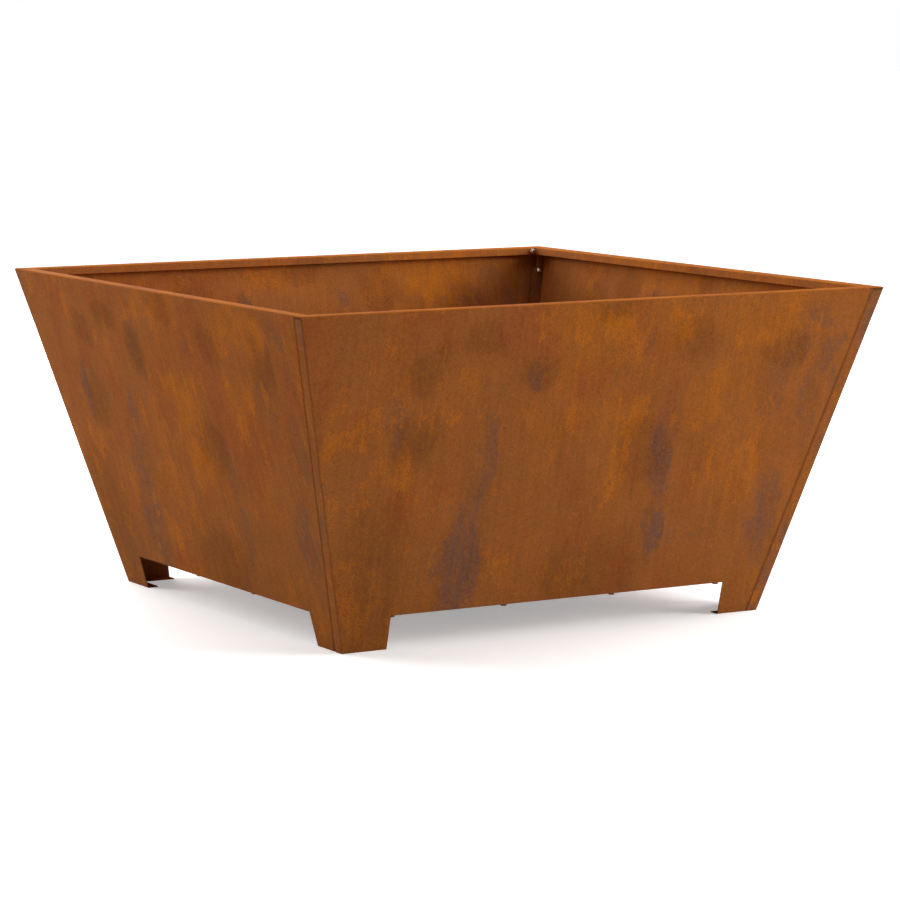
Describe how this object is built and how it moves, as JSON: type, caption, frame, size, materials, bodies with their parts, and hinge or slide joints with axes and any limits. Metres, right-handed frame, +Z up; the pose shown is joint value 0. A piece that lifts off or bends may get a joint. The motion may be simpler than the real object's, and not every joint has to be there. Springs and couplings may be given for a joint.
{
  "type": "planter box",
  "caption": "Square tapered planter box of folded weathering steel: four wall panels on corner legs, bolted at the seams, with a drained two-part base and a turned-in rim.",
  "frame": {"origin": "centre of the footprint on the floor, level with the undersides of the feet", "axes": "+Z up; X and Y run along the two pairs of walls, so the front panel faces -Y and the right panel faces +X; each panel is the front one turned by a quarter about Z"},
  "size_m": [1.1984, 1.1984, 0.608],
  "materials": {
    "weathering_steel": "weathered, even orange-brown rust, matt",
    "stainless_steel": "plain stainless screws, nuts and washers"
  },
  "bodies": {
    "root": {"base_half_left": "weathering_steel", "base_half_right": "weathering_steel", "ledge_nuts_back": "stainless_steel", "ledge_nuts_front": "stainless_steel", "ledge_nuts_left": "stainless_steel", "ledge_nuts_right": "stainless_steel", "ledge_screws_back": "stainless_steel", "ledge_screws_front": "stainless_steel", "ledge_screws_left": "stainless_steel", "ledge_screws_right": "stainless_steel", "ledge_washers_back": "stainless_steel", "ledge_washers_front": "stainless_steel", "ledge_washers_left": "stainless_steel", "ledge_washers_right": "stainless_steel", "panel_back": "weathering_steel", "panel_front": "weathering_steel", "panel_left": "weathering_steel", "panel_right": "weathering_steel", "rib_nuts": "stainless_steel", "rib_screws": "stainless_steel", "rib_washers": "stainless_steel", "rim_nuts": "stainless_steel", "rim_screws": "stainless_steel", "seam_nuts_back_left": "stainless_steel", "seam_nuts_back_right": "stainless_steel", "seam_nuts_front_left": "stainless_steel", "seam_nuts_front_right": "stainless_steel", "seam_screws_back_left": "stainless_steel", "seam_screws_back_right": "stainless_steel", "seam_screws_front_left": "stainless_steel", "seam_screws_front_right": "stainless_steel", "seam_washers_back_left": "stainless_steel", "seam_washers_back_right": "stainless_steel", "seam_washers_front_left": "stainless_steel", "seam_washers_front_right": "stainless_steel"}
  },
  "joints": []
}
